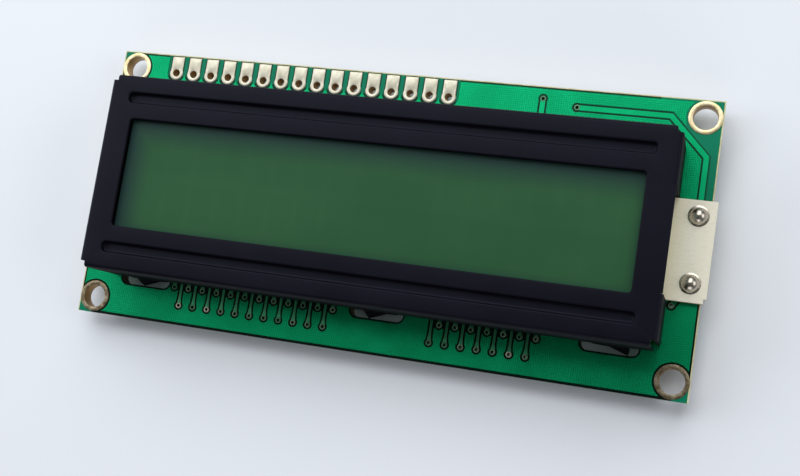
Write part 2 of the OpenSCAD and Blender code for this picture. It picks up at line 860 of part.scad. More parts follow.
// White frame, open below over the lamps and stepped above for the diffuser
module reflector_frame() {
    color([0.95, 0.95, 0.93])
        difference() {
            slab(light_l, inner_w, tongue_top, light_h);
            slab(light_l - 2 * light_wall, inner_w - 2 * light_wall, tongue_top - 1, light_h + 2);
            slab(light_l - light_wall, inner_w - light_wall, rear_film_z - diffuser_t, diffuser_t + 1);
        }
}

led_size = [led_l, led_l / 2, led_h];
led_columns = 8;
led_rows = 2;

module led_packages() {
    pitch_x = (light_l - 2 * light_wall) / led_columns;
    pitch_y = (inner_w - 2 * light_wall) / led_rows;
    color([0.95, 0.9, 0.5])
        for (i = [0 : led_columns - 1], j = [0 : led_rows - 1]) {
            translate([
                (i - (led_columns - 1) / 2) * pitch_x - led_size[0] / 2,
                bezel_y + (j - (led_rows - 1) / 2) * pitch_y - led_size[1] / 2,
                tongue_top
            ])
                cube(led_size);
        }
}

module backlight_board() {
    tongue_end = board_l / 2 + tongue_overhang;
    color([0.86, 0.84, 0.74])
        translate([0, 0, copper_t])
            linear_extrude(tongue_t)
                difference() {
                    union() {
                        translate([-light_l / 2, bezel_y - inner_w / 2]) square([light_l, inner_w]);
                        translate([0, tongue_y - tongue_w / 2]) square([tongue_end, tongue_w]);
                    }
                    translate([tongue_end - tongue_step[0], tongue_y - tongue_w / 2 - 1])
                        square([tongue_step[0] + 1, tongue_step[1] + 1]);
                    for (p = pin_at) translate(p) circle(d = pin_hole_d);
                }
}

pin_top = tongue_top + dome_h / 2;
pin_foot = mask_back_z - pin_out;

module backlight_pins() {
    color([0.8, 0.8, 0.78])
        for (p = pin_at) translate([p[0], p[1], pin_foot]) cylinder(d = pin_d, h = pin_top - pin_foot);
}

// Round ball of solder, drawn out into a thin foot
module ball_on_foot() {
    foot_ball_r = (dome_d * dome_d / 4 + foot_h * foot_h) / (2 * foot_h);
    rotate_extrude($fn = cap_fn)
        intersection() {
            union() {
                translate([0, dome_h - ball_d / 2]) circle(d = ball_d, $fn = cap_fn);
                translate([0, foot_h - foot_ball_r]) circle(r = foot_ball_r, $fn = cap_fn);
            }
            square([dome_d / 2, dome_h]);
        }
}

module tongue_solder_domes() {
    color([0.75, 0.75, 0.74])
        for (p = pin_at) {
            translate([p[0], p[1], 0])
                difference() {
                    translate([0, 0, tongue_top]) ball_on_foot();
                    translate([0, 0, tongue_top - 1]) cylinder(d = pin_d, h = 1 + pin_top - tongue_top);
                }
        }
}

// Thickness left at the tip of the rear solder's hollow flank
cone_lip = 0.04;

// Hollow-sided solder cone round each pin, behind the board
module rear_pin_solder() {
    color([0.75, 0.75, 0.74])
        for (p = pin_at) {
            translate([p[0], p[1], mask_back_z])
                mirror([0, 0, 1])
                    rotate_extrude()
                        difference() {
                            translate([pin_d / 2, 0]) square([cone_h, cone_h]);
                            translate([pin_d / 2 + cone_h, cone_h]) circle(r = cone_h - cone_lip);
                        }
        }
}

// ---- back of the board ----

module blob(at, d) {
    color([0.06, 0.06, 0.07])
        difference() {
            translate([at[0], at[1], mask_back_z]) mirror([0, 0, 1]) cap(d, blob_h);
            translate([at[0], at[1], mask_back_z - die_h / 2])
                cube([die_size, die_size, die_h], center = true);
        }
}

module die(at) {
    color([0.35, 0.36, 0.4])
        translate([at[0], at[1], mask_back_z - die_h / 2])
            cube([die_size, die_size, die_h], center = true);
}

module controller_blob() {
    blob(controller_at, controller_d);
}

module controller_die() {
    die(controller_at);
}

module driver_blob() {
    blob(driver_at, driver_d);
}

module driver_die() {
    die(driver_at);
}

chip_core = [chip_l - 2 * terminal_t, chip_w - 2 * terminal_t, chip_h - 2 * terminal_t];
pad_l = terminal_l + fillet_l;
pad_w = chip_w + 4 * terminal_t;

// Body of a chip part, hanging under the back of the board
module chip_body(c) {
    translate([c[0], c[1], mask_back_z - chip_h / 2])
        cube(chip_core, center = true);
}

// Metal cap that wraps round each end of a chip part
module chip_terminals(c) {
    translate([c[0], c[1], mask_back_z - chip_h / 2])
        for (s = [-1, 1]) {
            difference() {
                translate([s * (chip_l - terminal_l) / 2, 0, 0])
                    cube([terminal_l, chip_w, chip_h], center = true);
                cube(chip_core, center = true);
            }
        }
}

module chip_resistor_bodies() {
    color([0.08, 0.08, 0.09])
        for (c = resistors) chip_body(c);
}

module chip_resistor_terminals() {
    color([0.8, 0.8, 0.8])
        for (c = resistors) chip_terminals(c);
}

module chip_capacitor_bodies() {
    color([0.7, 0.58, 0.42])
        for (c = capacitors) chip_body(c);
}

module chip_capacitor_terminals() {
    color([0.8, 0.8, 0.8])
        for (c = capacitors) chip_terminals(c);
}

// Share of a chip part's height that the solder climbs
fillet_share = 0.8;

// Pad under each end of a chip part, and the solder that climbs its end
module chip_solder() {
    color([0.78, 0.78, 0.78])
        for (c = concat(resistors, capacitors), s = [0, 1]) {
            translate([c[0], c[1], 0])
                mirror([s, 0, 0]) {
                    translate([chip_l / 2 - terminal_l, -pad_w / 2, mask_back_z])
                        cube([pad_l, pad_w, copper_t]);
                    translate([chip_l / 2, chip_w / 2, mask_back_z])
                        rotate([90, 0, 0])
                            linear_extrude(chip_w)
                                polygon([[0, 0], [fillet_l, 0], [0, -fillet_share * chip_h]]);
                }
        }
}

main_board();
front_copper();
rear_copper();
mounting_hole_rims();
header_lands();
via_lands();
pin_lands();
contact_fingers();
bezel();
front_polarizer();
front_glass();
cell_seal();
liquid_crystal();
fill_port_plug();
rear_glass();
rear_polarizer();
upper_zebra_strip();
lower_zebra_strip();
diffuser();
reflector_frame();
led_packages();
backlight_board();
backlight_pins();
tongue_solder_domes();
rear_pin_solder();
controller_blob();
controller_die();
driver_blob();
driver_die();
chip_resistor_bodies();
chip_resistor_terminals();
chip_capacitor_bodies();
chip_capacitor_terminals();
chip_solder();
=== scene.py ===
# %% [markdown]
# # Character display module
# A two-line liquid crystal display: a glass cell under a folded black steel bezel, on a
# green printed board. The exact solids are made elsewhere and are loaded here as a fixed
# frame, so this lesson is about finishes, small soft-edged pieces, light and a camera.
# Meshes are in metres. Finishes think in millimetres, and so do the sizes named in
# capitals; MM turns them into metres.

# %% Load the frame
import bmesh
import bpy
import json
import math
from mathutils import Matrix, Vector


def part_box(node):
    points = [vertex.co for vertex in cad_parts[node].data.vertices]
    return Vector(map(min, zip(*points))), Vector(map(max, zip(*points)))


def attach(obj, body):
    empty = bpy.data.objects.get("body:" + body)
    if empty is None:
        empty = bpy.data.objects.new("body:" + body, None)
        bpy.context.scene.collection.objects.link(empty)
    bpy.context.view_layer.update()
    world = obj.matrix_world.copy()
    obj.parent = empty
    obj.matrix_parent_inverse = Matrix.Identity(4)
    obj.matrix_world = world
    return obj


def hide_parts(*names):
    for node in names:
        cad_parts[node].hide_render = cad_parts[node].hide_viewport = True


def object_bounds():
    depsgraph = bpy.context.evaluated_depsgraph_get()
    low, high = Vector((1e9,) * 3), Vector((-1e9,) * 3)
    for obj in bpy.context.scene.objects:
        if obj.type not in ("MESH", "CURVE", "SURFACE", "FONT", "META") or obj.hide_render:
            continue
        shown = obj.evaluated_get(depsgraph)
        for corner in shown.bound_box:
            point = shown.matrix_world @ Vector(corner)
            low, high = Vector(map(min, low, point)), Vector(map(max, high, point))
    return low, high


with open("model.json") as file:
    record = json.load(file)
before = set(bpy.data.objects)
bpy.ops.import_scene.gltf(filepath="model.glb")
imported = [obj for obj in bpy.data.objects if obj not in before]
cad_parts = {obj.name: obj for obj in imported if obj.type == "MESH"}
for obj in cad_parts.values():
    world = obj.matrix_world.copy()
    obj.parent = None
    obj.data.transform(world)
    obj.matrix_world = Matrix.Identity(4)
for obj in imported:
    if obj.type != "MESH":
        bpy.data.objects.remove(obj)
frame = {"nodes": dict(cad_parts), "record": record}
cad_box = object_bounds()
record = frame["record"]
nodes = frame["nodes"]
mounts = {mount["name"]: mount for mount in record["mounts"]}
MM = 0.001
print("nodes in the frame:", len(nodes))
print("box of the solids in mm:", [[round(v / MM, 2) for v in corner] for corner in cad_box])

# %% [markdown]
# ## Camera
# The module lies on a table and is seen from nearly overhead, a little from its right, with the
# camera turned a few degrees. One lens and one place make that view, so no part of it is faked.

# %% Camera
CAMERA_MM = Vector((43.07, -19.61, 140.74))
CAMERA_DEGREES = (8.905, 14.779, 9.197)
SENSOR_MM = 36.0
LENS_MM = 52.84
camera_data = bpy.data.cameras.new("table_camera")
camera_data.sensor_width = SENSOR_MM
camera_data.lens = LENS_MM
camera_data.clip_start = 1 * MM
camera = bpy.data.objects.new("table_camera", camera_data)
camera.location = CAMERA_MM * MM
camera.rotation_euler = [math.radians(angle) for angle in CAMERA_DEGREES]
bpy.context.scene.collection.objects.link(camera)
bpy.context.scene.camera = camera
bpy.context.scene.view_settings.view_transform = "Standard"
print("camera at", [round(v / MM, 1) for v in camera.location], "mm")

# %% [markdown]
# ## Shader writing
# A finish is easiest to read as arithmetic. The class below wraps a socket, so that adding
# two of them adds a Math node; every other node comes from one method of the finish.

# %% Sockets as numbers
class Wire:
    """One value that runs through a finish."""

    def __init__(self, finish, socket):
        self.finish = finish
        self.socket = socket

    def other(self, name):
        """Another output of the node that this value comes from."""
        return Wire(self.finish, self.socket.node.outputs[name])

    def math(self, operation, *values):
        return self.finish.math(operation, self, *values)


def two_way(operation):
    """An operator and its reflected form."""
    def forward(wire, value):
        return wire.finish.math(operation, wire, value)

    def reflected(wire, value):
        return wire.finish.math(operation, value, wire)

    return forward, reflected


Wire.__add__, Wire.__radd__ = two_way("ADD")
Wire.__sub__, Wire.__rsub__ = two_way("SUBTRACT")
Wire.__mul__, Wire.__rmul__ = two_way("MULTIPLY")
Wire.__truediv__, Wire.__rtruediv__ = two_way("DIVIDE")
Wire.__lt__, Wire.__gt__ = two_way("LESS_THAN")
Wire.__abs__ = lambda wire: wire.math("ABSOLUTE")
print("operators on wires are ready")


# %% A finish
def paint(red, green, blue):
    """A colour from 0 to 255 a channel, as the linear colour that shaders take."""
    def linear(channel):
        share = channel / 255
        return share / 12.92 if share <= 0.04045 else ((share + 0.055) / 1.055) ** 2.4

    return (linear(red), linear(green), linear(blue), 1.0)


class Finish:
    """One material, written in Python."""

    def __init__(self, name, **constants):
        self.material = bpy.data.materials.new(name)
        self.material.use_nodes = True
        self.tree = self.material.node_tree
        self.tree.nodes.clear()
        self.output = self.tree.nodes.new("ShaderNodeOutputMaterial")
        self.shader = self.tree.nodes.new("ShaderNodeBsdfPrincipled")
        self.tree.links.new(self.shader.outputs[0], self.output.inputs[0])
        self.set(**constants)

    def feed(self, socket, value):
        if isinstance(value, Wire):
            self.tree.links.new(value.socket, socket)
        else:
            socket.default_value = value

    def set(self, **values):
        """Values of the shader's own sockets, with _ for the spaces in their names."""
        for name, value in values.items():
            self.feed(self.shader.inputs[name.replace("_", " ")], value)

    def node(self, kind, settings, inputs, out=0):
        """Any node: its settings are set first, then its sockets are fed."""
        node = self.tree.nodes.new(kind)
        for name, value in settings.items():
            setattr(node, name, value)
        for name, value in inputs.items():
            self.feed(node.inputs[name], value)
        return Wire(self, node.outputs[out])

    def math(self, operation, *values):
        settings = {"operation": operation}
        return self.node("ShaderNodeMath", settings, dict(enumerate(values)))

    def blend(self, share, first, second):
        """From the first colour at 0 to the second at 1."""
        settings = {"data_type": "RGBA"}
        return self.node("ShaderNodeMix", settings, {0: share, 6: first, 7: second}, out=2)

    def steps(self, value, low, high):
        """0 under low, 1 over high, and a smooth rise between them."""
        settings = {"interpolation_type": "SMOOTHSTEP"}
        return self.node("ShaderNodeMapRange", settings, {0: value, 1: low, 2: high})

    def place(self):
        """Where a point is on the module, in millimetres."""
        coords = self.node("ShaderNodeTexCoord", {}, {}, out="Object")
        settings = {"operation": "SCALE"}
        return self.node("ShaderNodeVectorMath", settings, {0: coords, "Scale": 1 / MM})

    def axes(self, vector):
        """The x, y and z of a vector."""
        x = self.node("ShaderNodeSeparateXYZ", {}, {0: vector})
        return x, x.other("Y"), x.other("Z")

    def noise(self, vector, scale, detail=3.0, roughness=0.5):
        inputs = {"Vector": vector, "Scale": scale, "Detail": detail, "Roughness": roughness}
        return self.node("ShaderNodeTexNoise", {}, inputs)

    def stretched(self, vector, scales):
        settings = {"operation": "MULTIPLY"}
        return self.node("ShaderNodeVectorMath", settings, {0: vector, 1: scales})

    def bump(self, height, depth_mm, strength=1.0):
        inputs = {"Height": height, "Distance": depth_mm * MM, "Strength": strength}
        self.set(Normal=self.node("ShaderNodeBump", {}, inputs))


print("a finish starts as a", Finish("trial").shader.name)
bpy.data.materials.remove(bpy.data.materials["trial"])


# %% [markdown]
# ## Wires that several finishes share
# Small helpers: which faces lie level, a wave that repeats at a pitch, a number carried by
# the mesh, and edges that look rounded.

# %% Shared wires
def facing(finish):
    """How far a face looks up: 1 up, -1 down and 0 on a wall."""
    normal = finish.node("ShaderNodeNewGeometry", {}, {}, out="Normal")
    return finish.axes(normal)[2]


def level(finish):
    """1 on faces that look up or down, 0 on walls."""
    return abs(facing(finish)) > 0.5


def comb(value, pitch):
    """0 in the middle of each step of the pitch and 1 where two steps meet."""
    return abs((value / pitch).math("FRACT") - 0.5) * 2


def mark(finish, name):
    """A number that the piece's mesh carries."""
    return finish.node("ShaderNodeAttribute", {"attribute_name": name}, {}, out="Fac")


def soften(finish, radius_mm):
    """Rounds hard edges in the shading alone."""
    inputs = {"Radius": radius_mm * MM}
    return finish.node("ShaderNodeBevel", {"samples": 6}, inputs)


finishes = {}
print("shared wires:", [wire.__name__ for wire in (facing, level, comb, mark, soften)])

# %% [markdown]
# ## Green board
# Glass-cloth laminate, cut from a panel, with a transparent green lacquer baked on both
# faces. Over copper the lacquer looks like green metal. Over bare laminate it is painted dark
# in narrow gaps as painted shade, and darker still towards the lower edge as the bezel's
# painted shade. It is painted paler in wide ones, as painted light that creeps in sideways.
# The wide ones are the corner beyond the backlight's feed track, the strips between the lands,
# and the tips past the corner holes. The cut edges show the cream laminate; the walls of holes
# and slots are painted darker, as painted shade inside them.

# %% Board finish
LAND_COUNT = 16
FEED_HALF = 0.4
FEED_SLANT = 11.55
CREAM_EDGE = 0.12
board_low, board_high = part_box("main_board")
board = Finish("solder_mask_board", Roughness=0.34, Specular_IOR_Level=0.07)
here = board.place()
x, y = board.axes(here)[:2]
cloud = board.noise(here, 0.35, 3.0, 0.6)
pin_x = sum(corner.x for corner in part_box("backlight_pins")) / 2 / MM
past_track = x - pin_x - FEED_HALF
past_slant = (x + y - pin_x - FEED_SLANT) * 0.7
beyond = past_track.math("MAXIMUM", past_slant)
corner = board.steps(beyond, -0.05, 0.2) * board.steps(y, 3.0, 6.0)
first_hole = Vector(mounts["first_pin_hole"]["pos_m"])
last_hole = Vector(mounts["last_pin_hole"]["pos_m"])
first = first_hole / MM
pitch = (last_hole.x / MM - first.x) / (LAND_COUNT - 1)
step = comb(x - first.x + pitch / 2, pitch)
between = board.steps(step, 0.75, 0.82) * board.steps(y, first.y - 0.6, first.y - 0.2)
left_of_end = first.x + pitch * LAND_COUNT - x
between = between * board.steps(left_of_end, pitch / 2, pitch / 2 + 0.1)
between = between * board.steps(x - first.x, -pitch / 2, 0.1 - pitch / 2)
pattern = mounts["mounting_holes"]["dims"]
past_x = abs(x) - pattern["spacing_x_mm"] / 2
past_y = abs(y) - pattern["spacing_y_mm"] / 2
tips = board.steps(past_x, 0.0, 0.3) * board.steps(past_y, 0.0, 0.3)
wide = corner.math("MAXIMUM", between).math("MAXIMUM", tips)
# Painted shade: narrow gaps are painted dark, and darker towards the lower edge in the bezel's
# shade; wide areas are painted paler, as painted light.
out_of_bezel_shade = board.steps(y, -12.0, 12.0)
narrow_gap_shade_green = board.blend(out_of_bezel_shade, paint(2, 20, 14), paint(7, 56, 40))
wide_green = board.blend(cloud, paint(10, 112, 82), paint(14, 128, 94))
lacquer = board.blend(wide, narrow_gap_shade_green, wide_green)
layers = board.noise(board.stretched(here, (0.6, 0.6, 9.0)), 1.0, 4.0, 0.7)
layers = board.steps(layers, 0.35, 0.7)
laminate = board.blend(layers, paint(196, 190, 138), paint(232, 226, 186))
to_edge = (board_high.x / MM - abs(x)).math("MINIMUM", board_high.y / MM - y)
coated = board.steps(to_edge, CREAM_EDGE - 0.04, CREAM_EDGE + 0.04)
lacquer = board.blend(coated, laminate, lacquer)
# Painted shade: walls of holes and slots, away from the outer edge, are painted darker, as
# shade inside them.
cut = board.blend(board.steps(to_edge, 0.3, 0.6), laminate, paint(74, 74, 50))
board.set(Base_Color=board.blend(level(board), cut, lacquer))
board.bump(board.noise(here, 1.4, 4.0, 0.6), 0.03, 0.25)
finishes["solder_mask_board"] = board
print("lands every", round(pitch, 3), "mm; pins at x =", round(pin_x, 2))

# %% Lacquered copper finish
HATCH_PITCH = 0.27
copper = Finish("masked_copper", Metallic=1.0)
here = copper.place()
x, y = copper.axes(here)[:2]
holes = [copper.steps(comb(axis, HATCH_PITCH), 0.3, 0.55) for axis in (x, y)]
hatch = holes[0] * holes[1] * mark(copper, "pour")
cloud = copper.noise(here, 0.22, 4.0, 0.55)
grain = copper.noise(here, 6.0, 2.0, 0.6)
metal = copper.blend(copper.steps(cloud, 0.3, 0.7), paint(11, 140, 88), paint(14, 152, 98))
metal = copper.blend(hatch * 0.42, metal, paint(4, 84, 54))
# Painted highlight: tracks outside the pour near the lower edge are painted paler and greyer,
# as light along them.
lower_track_highlight = (1 - mark(copper, "pour")) * (1 - copper.steps(y, -13.0, -11.0))
metal = copper.blend(lower_track_highlight * 0.3, metal, paint(118, 158, 128))
copper.set(Base_Color=metal, Roughness=0.33 + 0.1 * grain)
copper.bump(grain * 0.3 - hatch, 0.03, 0.5)
finishes["masked_copper"] = copper
print("hatch of the pour every", HATCH_PITCH, "mm")

# %% [markdown]
# ## Copper pattern
# The wide copper area of a hand-soldered board is printed as a fine mesh, so that it
# doesn't blister; the tracks are solid. The copy below marks its widest solid, and the
# lacquer shows a mesh only there.

# %% Copper pattern
WELD = 0.0005


def merged(node):
    """A copy of a node's mesh with its loose triangles joined."""
    shape = bmesh.new()
    shape.from_mesh(nodes[node].data)
    bmesh.ops.remove_doubles(shape, verts=shape.verts, dist=WELD * MM)
    return shape


def islands(shape):
    """Faces of each separate solid, in the order of the mesh."""
    seen = set()
    groups = []
    for start in shape.faces:
        if start in seen:
            continue
        seen.add(start)
        group = [start]
        for face in group:
            for side in face.edges:
                for other in side.link_faces:
                    if other not in seen:
                        seen.add(other)
                        group.append(other)
        groups.append(group)
    return groups


def area(group):
    return sum(face.calc_area() for face in group)


def middle(group):
    """Centre of the box round some faces."""
    corners = [v.co for face in group for v in face.verts]
    low = Vector([min(c[i] for c in corners) for i in range(3)])
    high = Vector([max(c[i] for c in corners) for i in range(3)])
    return (low + high) / 2


def place_piece(mesh, name, slot, *stands_for):
    """Puts a finished mesh on the module in place of CAD nodes."""
    mesh.name = name
    mesh.materials.clear()
    mesh.materials.append(finishes[slot].material)
    piece = bpy.data.objects.new(name, mesh)
    bpy.context.scene.collection.objects.link(piece)
    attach(piece, "root")
    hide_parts(*stands_for)


for node in ("front_copper", "rear_copper"):
    shape = merged(node)
    layer = shape.faces.layers.float.new("pour")
    groups = islands(shape)
    widest = max(groups, key=area)
    for face in widest:
        face[layer] = 1.0
    mesh = bpy.data.meshes.new(node)
    shape.to_mesh(mesh)
    shape.free()
    place_piece(mesh, node.replace("copper", "pattern"), "masked_copper", node)
    print(node, "has", len(groups), "solids")

# %% [markdown]
# ## Solder lands
# Each land is copper on both faces, joined by the plating of its hole and coated with tin
# by hot air, which leaves a low dome with rounded edges. One land is modelled; a tree
# repeats it. Small rings carry less tin: a mark on the mesh says how much.

# %% Tin and plating
tin = Finish("tinned_copper")
here = tin.place()
patch = tin.noise(here, 0.9, 4.0, 0.6)
bright = mark(tin, "tin")
flat = level(tin)
cream = tin.blend(tin.steps(patch, 0.35, 0.7), paint(186, 182, 162), paint(204, 199, 182))
ring = tin.blend(patch, paint(34, 108, 66), paint(60, 128, 88))
face = tin.blend(bright, ring, cream)
wall = tin.blend(patch, paint(176, 130, 76), paint(222, 186, 128))
# Painted shade: the hole walls of rings with less tin are painted near black, as shade inside
# the narrow holes.
wall = tin.blend(tin.steps(bright, 0.9, 0.98), paint(8, 12, 9), wall)
tin.set(Base_Color=tin.blend(flat, wall, face), Metallic=0.55 + 0.3 * bright)
tin.set(Roughness=0.52 - 0.1 * patch)
tin.bump(patch, 0.02, 0.5)
finishes["tinned_copper"] = tin

rim = Finish("plated_rim", Metallic=0.85)
here = rim.place()
patch = rim.noise(here, 1.3, 5.0, 0.65)
speck = rim.steps(rim.noise(here, 3.2, 2.0, 0.6), 0.58, 0.66)
# The rings are painted duller, darker and rougher towards the lower edge of the board.
towards_bottom = 1 - rim.steps(rim.axes(here)[1], -8.0, 8.0)
fresh = rim.blend(rim.steps(patch, 0.3, 0.7), paint(196, 176, 128), paint(216, 204, 170))
dull = rim.blend(rim.steps(patch, 0.35, 0.65), paint(100, 86, 64), paint(150, 140, 116))
dull = rim.blend(speck * 0.7, dull, paint(84, 62, 44))
wall = rim.blend(patch, paint(142, 104, 62), paint(206, 172, 116))
rim.set(Base_Color=rim.blend(level(rim), wall, rim.blend(towards_bottom, fresh, dull)))
rim.set(Roughness=0.34 + 0.12 * towards_bottom)
rim.bump(patch, 0.04, 0.5)
finishes["plated_rim"] = rim
print("finishes so far:", sorted(finishes))

# %% One land
def loops_mesh(name, loops):
    """A closed mesh from rings of points that run through a hole and back outside."""
    shape = bmesh.new()
    rings = [[shape.verts.new(Vector(p) * MM) for p in loop] for loop in loops]
    count = len(rings[0])
    for a, b in zip(rings, rings[1:] + rings[:1]):
        for i in range(count):
            shape.faces.new((a[i], a[(i + 1) % count], b[(i + 1) % count], b[i]))
    bmesh.ops.recalc_face_normals(shape, faces=shape.faces)
    mesh = bpy.data.meshes.new(name)
    shape.to_mesh(mesh)
    shape.free()
    for polygon in mesh.polygons:
        polygon.use_smooth = True
    mesh.set_sharp_from_angle(angle=math.radians(50))
    return mesh


LAND_R = 0.93
LAND_HALF = 0.86
LAND_SIDES = 32
HOLE_R = mounts["first_pin_hole"]["dims"]["r_mm"]
HOLE_LIP = 0.09
LIP_SHARE = 0.6
RIM_STEPS = [(0, 0), (0, 0.35), (0.05, 0.75), (0.16, 1)]
lands_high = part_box("header_lands")[1]
top_reach = (lands_high.y - first_hole.y) / MM
tin_t = lands_high.z / MM
back_z = board_low.z / MM
angles = [math.tau * i / LAND_SIDES for i in range(LAND_SIDES)]
angles += [math.atan2(top_reach, LAND_HALF), math.atan2(top_reach, -LAND_HALF)]
angles.sort()


def land_reach(angle):
    """Distance from the hole's centre to the land's outline."""
    c, s = math.cos(angle), math.sin(angle)
    if s <= 0:
        return LAND_R
    return max(LAND_R, min(LAND_HALF / max(abs(c), 1e-6), top_reach / s))


def loop_at(reaches, z):
    return [(r * math.cos(a), r * math.sin(a), z) for r, a in zip(reaches, angles)]


def land_loop(inset, z):
    return loop_at([land_reach(a) - inset for a in angles], z)


def hole_loop(radius, z):
    return loop_at([radius] * len(angles), z)


upper = [land_loop(inset, tin_t * share) for inset, share in RIM_STEPS]
upper += [hole_loop(HOLE_R + HOLE_LIP, tin_t), hole_loop(HOLE_R, tin_t * LIP_SHARE)]
lower = [[(px, py, back_z - pz) for px, py, pz in loop] for loop in reversed(upper)]
land_mesh = loops_mesh("one_land", upper + lower)
print("faces of one land:", len(land_mesh.polygons))

# %% A tree that repeats a shape
def tree_of(name, sockets):
    """A Geometry Nodes group with named inputs and one geometry out."""
    tree = bpy.data.node_groups.new(name, "GeometryNodeTree")
    keys = {}
    for label, kind, value in sockets:
        socket = tree.interface.new_socket(name=label, in_out="INPUT", socket_type=kind)
        if value is not None:
            socket.default_value = value
        keys[label] = socket.identifier
    tree.interface.new_socket(
        name="Geometry", in_out="OUTPUT", socket_type="NodeSocketGeometry")
    enter = tree.nodes.new("NodeGroupInput")
    leave = tree.nodes.new("NodeGroupOutput")

    def add(kind, settings, inputs):
        node = tree.nodes.new(kind)
        for key, value in settings.items():
            setattr(node, key, value)
        for key, value in inputs.items():
            if isinstance(value, bpy.types.NodeSocket):
                tree.links.new(value, node.inputs[key])
            else:
                node.inputs[key].default_value = value
        return node.outputs[0]

    return tree, keys, enter.outputs, leave.inputs, add


def run_tree(tree, keys, mesh, values, piece_name, slot, *stands_for):
    """Runs a tree on a mesh and keeps the outcome as a plain piece."""
    maker = bpy.data.objects.new(piece_name + "_maker", mesh)
    bpy.context.scene.collection.objects.link(maker)
    modifier = maker.modifiers.new(tree.name, "NODES")
    modifier.node_group = tree
    for label, value in values.items():
        modifier[keys[label]] = value
    graph = bpy.context.evaluated_depsgraph_get()
    made = bpy.data.meshes.new_from_object(maker.evaluated_get(graph))
    bpy.data.objects.remove(maker)
    place_piece(made, piece_name, slot, *stands_for)
    print(piece_name, "has", len(made.polygons), "faces")


row_tree, row_keys, given, done, add = tree_of("row_of_lands", [
    ("Geometry", "NodeSocketGeometry", None),
    ("Count", "NodeSocketInt", LAND_COUNT),
    ("First", "NodeSocketVector", (0, 0, 0)),
    ("Pitch", "NodeSocketVector", (2.54 * MM, 0, 0)),
    ("Finish", "NodeSocketMaterial", None)])
line = add("GeometryNodeMeshLine", {"mode": "OFFSET"}, {
    "Count": given["Count"], "Start Location": given["First"], "Offset": given["Pitch"]})
copies = add("GeometryNodeInstanceOnPoints", {}, {
    "Points": line, "Instance": given["Geometry"]})
solid = add("GeometryNodeRealizeInstances", {}, {"Geometry": copies})
painted = add("GeometryNodeSetMaterial", {}, {
    "Geometry": solid, "Material": given["Finish"]})
row_tree.links.new(painted, done[0])

tin_mark = land_mesh.attributes.new("tin", "FLOAT", "POINT")
tin_mark.data.foreach_set("value", [1.0] * len(land_mesh.vertices))
pitch = (last_hole - first_hole) / (LAND_COUNT - 1)
run_tree(row_tree, row_keys, land_mesh, {
    "Count": LAND_COUNT, "First": (first_hole.x, first_hole.y, 0), "Pitch": tuple(pitch),
    "Finish": tin.material}, "tinned_land_row", "tinned_copper", "header_lands")
print("pitch of the lands in mm:", round(pitch.x / MM, 3))

# %% [markdown]
# ## Plated rings
# Mounting holes, vias and the holes of the backlight's pins are the same thing in three
# sizes: a drilled hole plated through, with a ring of copper on each face. One tree turns
# a ring with a rounded lip from its radii, and sets it on every centre that the exact
# solids have.

# %% Ring tree
ring_tree, ring_keys, given, done, add = tree_of("plated_rings", [
    ("Geometry", "NodeSocketGeometry", None),
    ("Outer radius", "NodeSocketFloat", 2 * MM),
    ("Hole radius", "NodeSocketFloat", 1 * MM),
    ("Plate", "NodeSocketFloat", 0.05 * MM),
    ("Board", "NodeSocketFloat", 1.6 * MM),
    ("Sides", "NodeSocketInt", 16),
    ("Finish", "NodeSocketMaterial", None)])
BARREL_T = 0.04
LIP_OF_PLATE = 0.45


def sums(operation, first, second):
    return add("ShaderNodeMath", {"operation": operation}, {0: first, 1: second})


def turned_bar(width, height, radius, lift, lip):
    """A bar with rounded corners turned round the hole's axis."""
    outline = add("GeometryNodeCurvePrimitiveQuadrilateral", {}, {
        "Width": width, "Height": height})
    outline = add("GeometryNodeFilletCurve", {"mode": "POLY"}, {
        "Curve": outline, "Count": 2, "Radius": lip})
    circle = add("GeometryNodeCurvePrimitiveCircle", {}, {
        "Resolution": given["Sides"], "Radius": radius})
    bar = add("GeometryNodeCurveToMesh", {}, {"Curve": circle, "Profile Curve": outline})
    shift = add("ShaderNodeCombineXYZ", {}, {"Z": lift})
    return add("GeometryNodeTransform", {}, {"Geometry": bar, "Translation": shift})


ring_w = sums("SUBTRACT", given["Outer radius"], given["Hole radius"])
ring_mid = sums("MULTIPLY", sums("ADD", given["Outer radius"], given["Hole radius"]), 0.5)
half_plate = sums("MULTIPLY", given["Plate"], 0.5)
lip = sums("MULTIPLY", given["Plate"], LIP_OF_PLATE)
rear = sums("SUBTRACT", sums("MULTIPLY", given["Board"], -1.0), half_plate)
barrel_h = sums("ADD", given["Board"], given["Plate"])
barrel_z = sums("MULTIPLY", given["Board"], -0.5)
barrel_w = BARREL_T * MM
barrel_r = sums("ADD", given["Hole radius"], barrel_w / 2)
joined = add("GeometryNodeJoinGeometry", {}, {})
for bar in (turned_bar(ring_w, given["Plate"], ring_mid, half_plate, lip),
            turned_bar(ring_w, given["Plate"], ring_mid, rear, lip),
            turned_bar(barrel_w, barrel_h, barrel_r, barrel_z, barrel_w / 4)):
    ring_tree.links.new(bar, joined.node.inputs[0])
smooth = add("GeometryNodeSetShadeSmooth", {}, {"Geometry": joined})
copies = add("GeometryNodeInstanceOnPoints", {}, {
    "Points": given["Geometry"], "Instance": smooth})
solid = add("GeometryNodeRealizeInstances", {}, {"Geometry": copies})
painted = add("GeometryNodeSetMaterial", {}, {
    "Geometry": solid, "Material": given["Finish"]})
ring_tree.links.new(painted, done[0])
print("nodes of the ring tree:", len(ring_tree.nodes))


# %% Rings in three sizes
def centres(node):
    """Centres of a node's solids, from left to right."""
    shape = merged(node)
    found = [middle(group) for group in islands(shape)]
    shape.free()
    found.sort(key=lambda c: (round(c.x, 6), c.y))
    return [Vector((c.x, c.y, 0)) for c in found]


def points_mesh(name, places, tin_values):
    """Loose points, each with its share of tin."""
    mesh = bpy.data.meshes.new(name)
    mesh.from_pydata(places, [], [])
    values = mesh.attributes.new("tin", "FLOAT", "POINT")
    values.data.foreach_set("value", tin_values)
    return mesh


